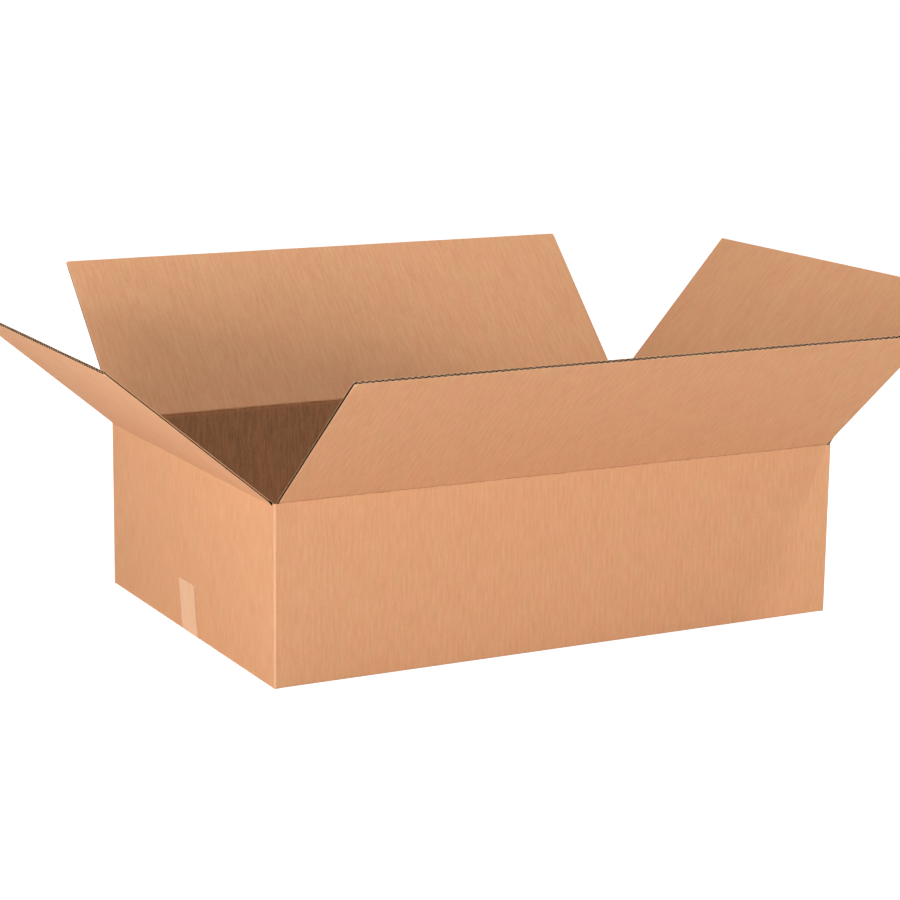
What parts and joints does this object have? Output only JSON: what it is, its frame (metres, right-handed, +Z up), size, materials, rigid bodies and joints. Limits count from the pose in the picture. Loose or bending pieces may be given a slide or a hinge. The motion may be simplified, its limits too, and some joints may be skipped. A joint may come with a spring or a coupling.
{
  "type": "open cardboard box",
  "caption": "Low, wide corrugated cardboard shipping box standing open, with its top flaps folded outwards on crease hinges and its bottom flaps closed and taped.",
  "frame": {"origin": "centre of the base, on the underside of the tape over the bottom seam", "axes": "+X along the long walls, towards the right short wall; +Y towards the back long wall; +Z up"},
  "size_m": [1.1378, 0.8927, 0.4112],
  "materials": {
    "kraft_board": "matte",
    "carton_tape": "satin"
  },
  "bodies": {
    "carton": {"carton_body": "kraft_board", "bottom_tape": "carton_tape"},
    "front_flap": {"flap_front": "kraft_board"},
    "back_flap": {"flap_back": "kraft_board"},
    "left_flap": {"flap_left": "kraft_board"},
    "right_flap": {"flap_right": "kraft_board"}
  },
  "joints": [
    {"name": "front_crease", "type": "hinge", "parent": "carton", "child": "front_flap", "pos_m": [0, -0.258, 0.21975], "axis": [1, 0, 0], "range_deg": [-138.8, 96.2]},
    {"name": "back_crease", "type": "hinge", "parent": "carton", "child": "back_flap", "pos_m": [0, 0.258, 0.21975], "axis": [-1, 0, 0], "range_deg": [-135.3, 99.7]},
    {"name": "left_crease", "type": "hinge", "parent": "carton", "child": "left_flap", "pos_m": [-0.385, 0, 0.21545], "axis": [0, -1, 0], "range_deg": [-140.1, 94.9]},
    {"name": "right_crease", "type": "hinge", "parent": "carton", "child": "right_flap", "pos_m": [0.385, 0, 0.21545], "axis": [0, 1, 0], "range_deg": [-131.4, 103.6]}
  ]
}
